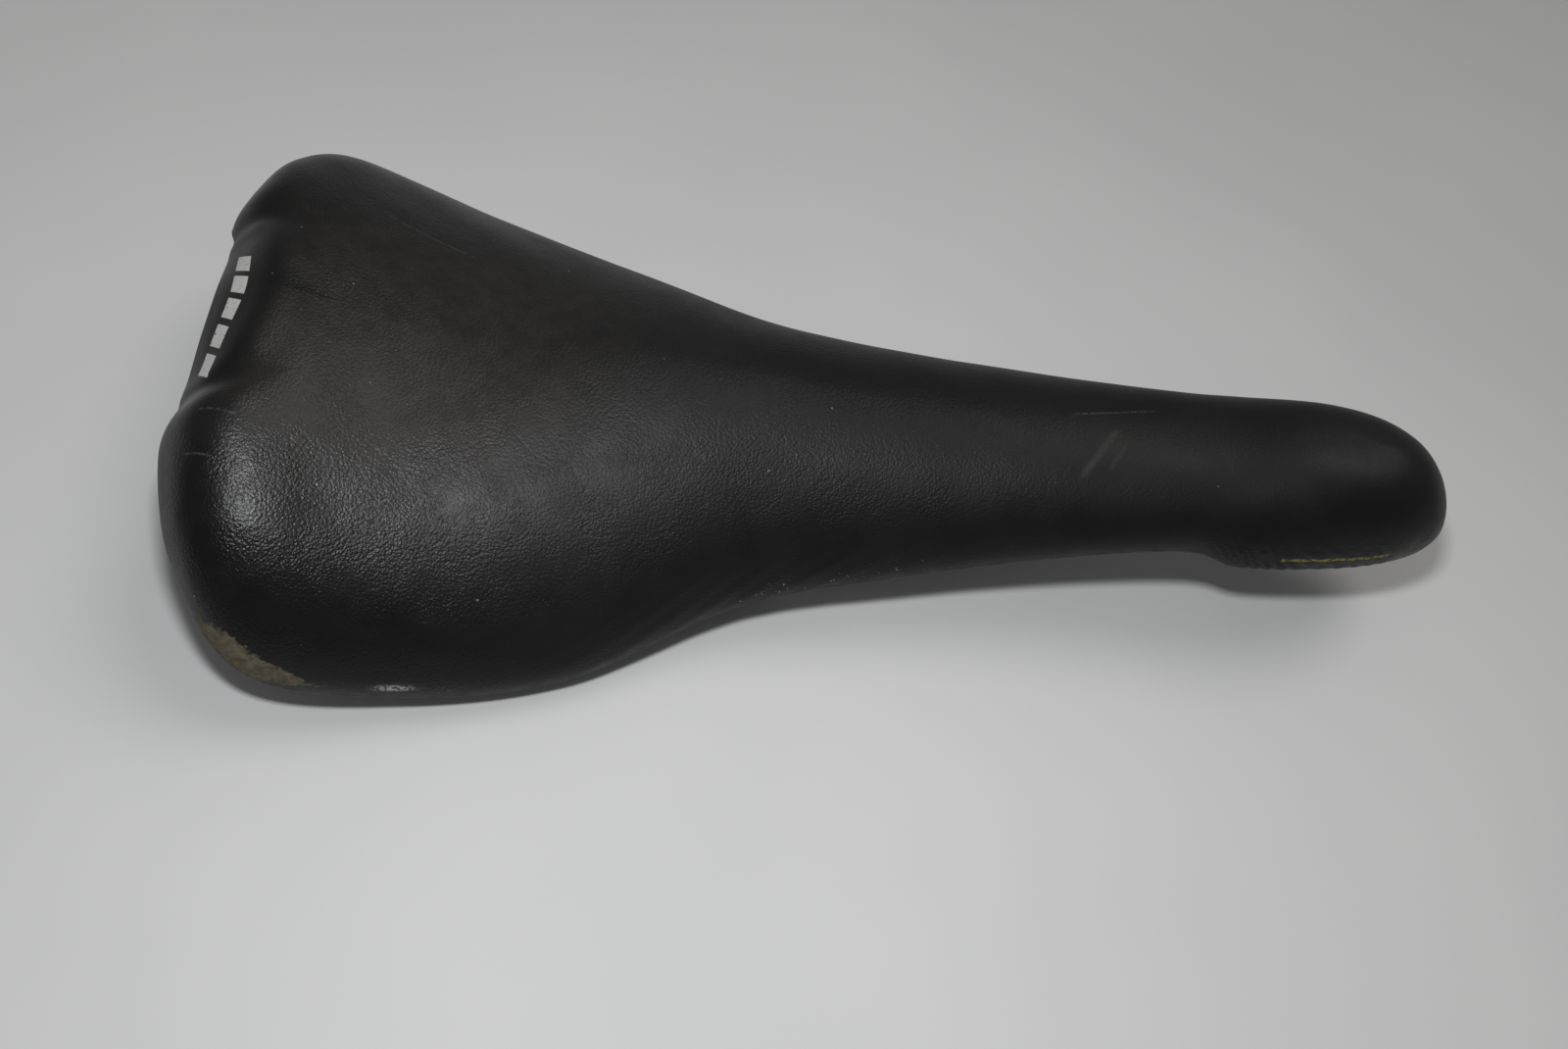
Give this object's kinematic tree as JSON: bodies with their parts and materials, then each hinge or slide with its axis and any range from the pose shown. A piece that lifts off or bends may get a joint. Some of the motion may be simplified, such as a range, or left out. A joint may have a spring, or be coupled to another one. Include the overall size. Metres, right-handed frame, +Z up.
{
  "type": "bicycle saddle",
  "caption": "Long-nosed racing bicycle saddle: black leather over foam on a nylon shell, recessed tail panel, carried on twin steel rails.",
  "frame": {"origin": "middle of the saddle's footprint, on the surface its rails stand on", "axes": "+X points to the nose, +Y to the rider's left, +Z up"},
  "size_m": [0.2791, 0.1368, 0.0553],
  "materials": {
    "leather": "grained, worn satin",
    "foam": "open-cell foam",
    "nylon": "moulded, fine texture",
    "rail_metal": "satin",
    "screw_steel": "satin",
    "zinc": "zinc plated",
    "staple_wire": "drawn wire"
  },
  "bodies": {
    "root": {"Cover": "leather", "Foam_pad": "foam", "Hem_staple_left_1": "staple_wire", "Hem_staple_left_2": "staple_wire", "Hem_staple_left_3": "staple_wire", "Hem_staple_left_4": "staple_wire", "Hem_staple_left_5": "staple_wire", "Hem_staple_left_6": "staple_wire", "Hem_staple_left_7": "staple_wire", "Hem_staple_left_8": "staple_wire", "Hem_staple_right_1": "staple_wire", "Hem_staple_right_2": "staple_wire", "Hem_staple_right_3": "staple_wire", "Hem_staple_right_4": "staple_wire", "Hem_staple_right_5": "staple_wire", "Hem_staple_right_6": "staple_wire", "Hem_staple_right_7": "staple_wire", "Hem_staple_right_8": "staple_wire", "Nose_block": "nylon", "Rail_left": "rail_metal", "Rail_right": "rail_metal", "Rear_socket_left": "nylon", "Rear_socket_right": "nylon", "Screw_nose": "screw_steel", "Screw_rear_left": "screw_steel", "Screw_rear_right": "screw_steel", "Shell": "nylon", "Washer_nose": "zinc", "Washer_rear_left": "zinc", "Washer_rear_right": "zinc"}
  },
  "joints": []
}
